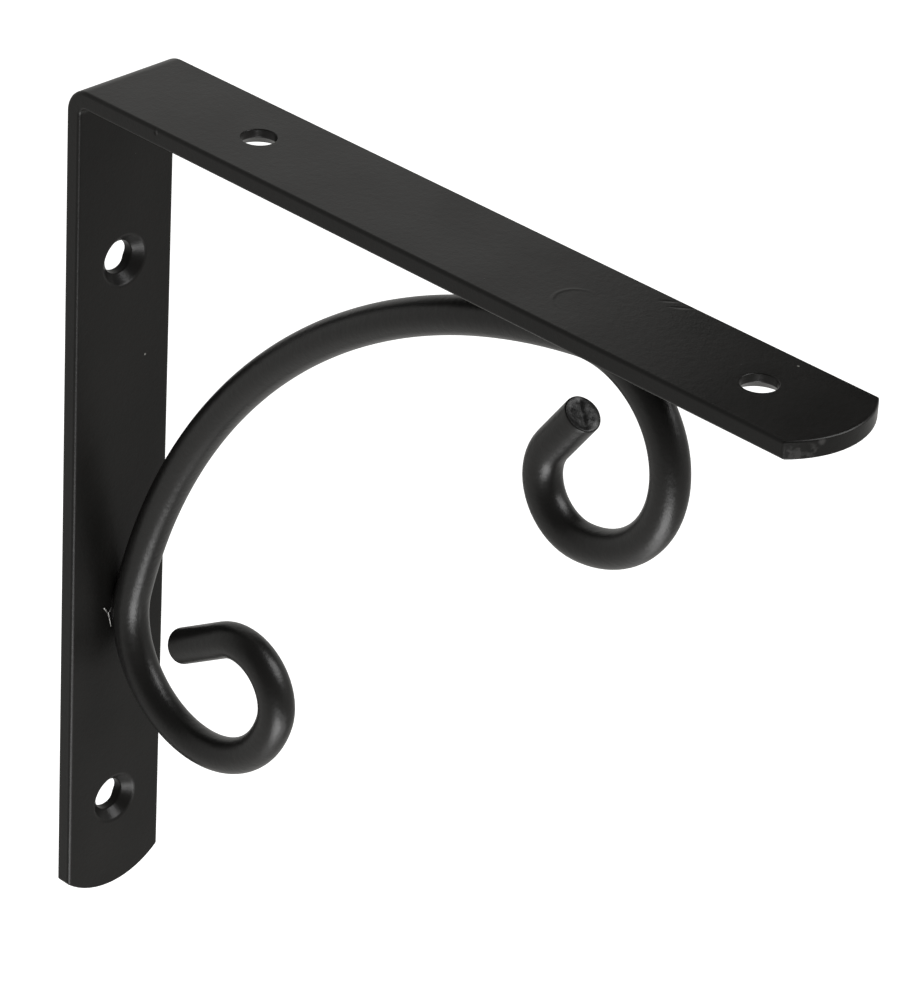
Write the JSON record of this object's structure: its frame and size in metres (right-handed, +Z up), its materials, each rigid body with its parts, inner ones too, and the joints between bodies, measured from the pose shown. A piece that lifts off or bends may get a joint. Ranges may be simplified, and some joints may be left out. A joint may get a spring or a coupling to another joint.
{
  "type": "shelf bracket",
  "caption": "L-shaped bent flat steel strip with countersunk screw holes and rounded ends, braced by a welded round steel rod bent into an arch with scroll ends.",
  "frame": {"origin": "on the flat back face of the leg, centred across the strip and midway between the two wall screw holes", "axes": "+Z up towards the shelf, +Y into the wall, so the arm reaches out along -Y, +X across the strip"},
  "size_m": [0.02, 0.15, 0.15],
  "materials": {
    "black_powder_coat": "satin black powder coat on mild steel"
  },
  "bodies": {
    "root": {"bent_strip": "black_powder_coat", "scroll_rod": "black_powder_coat"}
  },
  "joints": []
}
